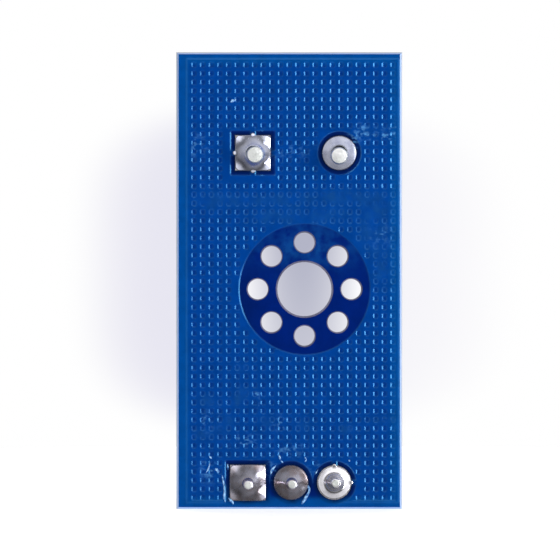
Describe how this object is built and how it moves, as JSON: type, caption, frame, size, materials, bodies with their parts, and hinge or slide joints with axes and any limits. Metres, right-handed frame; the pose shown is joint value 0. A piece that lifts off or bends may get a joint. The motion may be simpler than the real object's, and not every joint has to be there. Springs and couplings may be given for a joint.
{
  "type": "voltage sensor module",
  "caption": "Small upright circuit board with a screw terminal, a resistor divider, a straight pin header and a round mounting hole inside a ring of small holes.",
  "frame": {"origin": "centre of the mounting hole, on the solder-side face of the laminate", "axes": "+Z along the board's long side towards the screw terminal; +Y out of the component side, along the header's pins; +X to the right as seen from the solder side"},
  "size_m": [0.0134, 0.0135, 0.0269],
  "materials": {
    "laminate": "matte",
    "copper": "satin",
    "mask": "gloss",
    "ink": "matte",
    "tin": "satin",
    "solder": "satin",
    "flux_stained_solder": "satin",
    "housing": "satin",
    "contact": "satin",
    "guard": "satin",
    "screw": "satin",
    "strip": "satin",
    "gold": "gloss",
    "ceramic": "matte",
    "coat": "gloss"
  },
  "bodies": {
    "board": {"laminate": "laminate", "solder_side_copper": "copper", "component_side_copper": "copper", "signal_tracks": "copper", "terminal_pads": "tin", "header_pads": "tin", "resistor_pads": "tin", "solder_side_mask": "mask", "component_side_mask": "mask", "legend": "ink", "terminal_housing": "housing", "left_contact_cage": "contact", "right_contact_cage": "contact", "header_strip": "strip", "header_pin_left": "gold", "header_pin_middle": "gold", "header_pin_right": "gold", "left_terminal_solder": "solder", "right_terminal_solder": "solder", "left_header_solder": "solder", "middle_header_solder": "flux_stained_solder", "right_header_solder": "solder", "upper_resistor_ceramic": "ceramic", "upper_resistor_coat": "coat", "upper_resistor_caps": "tin", "lower_resistor_ceramic": "ceramic", "lower_resistor_coat": "coat", "lower_resistor_caps": "tin", "resistor_solder": "solder"},
    "left_guard": {"left_wire_guard": "guard"},
    "right_guard": {"right_wire_guard": "guard"},
    "left_screw": {"left_clamp_screw": "screw"},
    "right_screw": {"right_clamp_screw": "screw"}
  },
  "joints": [
    {"name": "left_guard_slide", "type": "slide", "parent": "board", "child": "left_guard", "axis": [0, -1, 0], "range_m": [0, 0.0025]},
    {"name": "left_screw_turn", "type": "hinge", "parent": "left_guard", "child": "left_screw", "pos_m": [-0.00304, 0.009, 0.008], "axis": [0, -1, 0], "range_deg": [0, 1800]},
    {"name": "right_guard_slide", "type": "slide", "parent": "board", "child": "right_guard", "axis": [0, -1, 0], "range_m": [0, 0.0025]},
    {"name": "right_screw_turn", "type": "hinge", "parent": "right_guard", "child": "right_screw", "pos_m": [0.00204, 0.009, 0.008], "axis": [0, -1, 0], "range_deg": [0, 1800]}
  ],
  "couplings": [
    {"joint": "left_screw_turn", "follows": "left_guard_slide", "rad_per_m": 12566},
    {"joint": "right_screw_turn", "follows": "right_guard_slide", "rad_per_m": 12566}
  ]
}
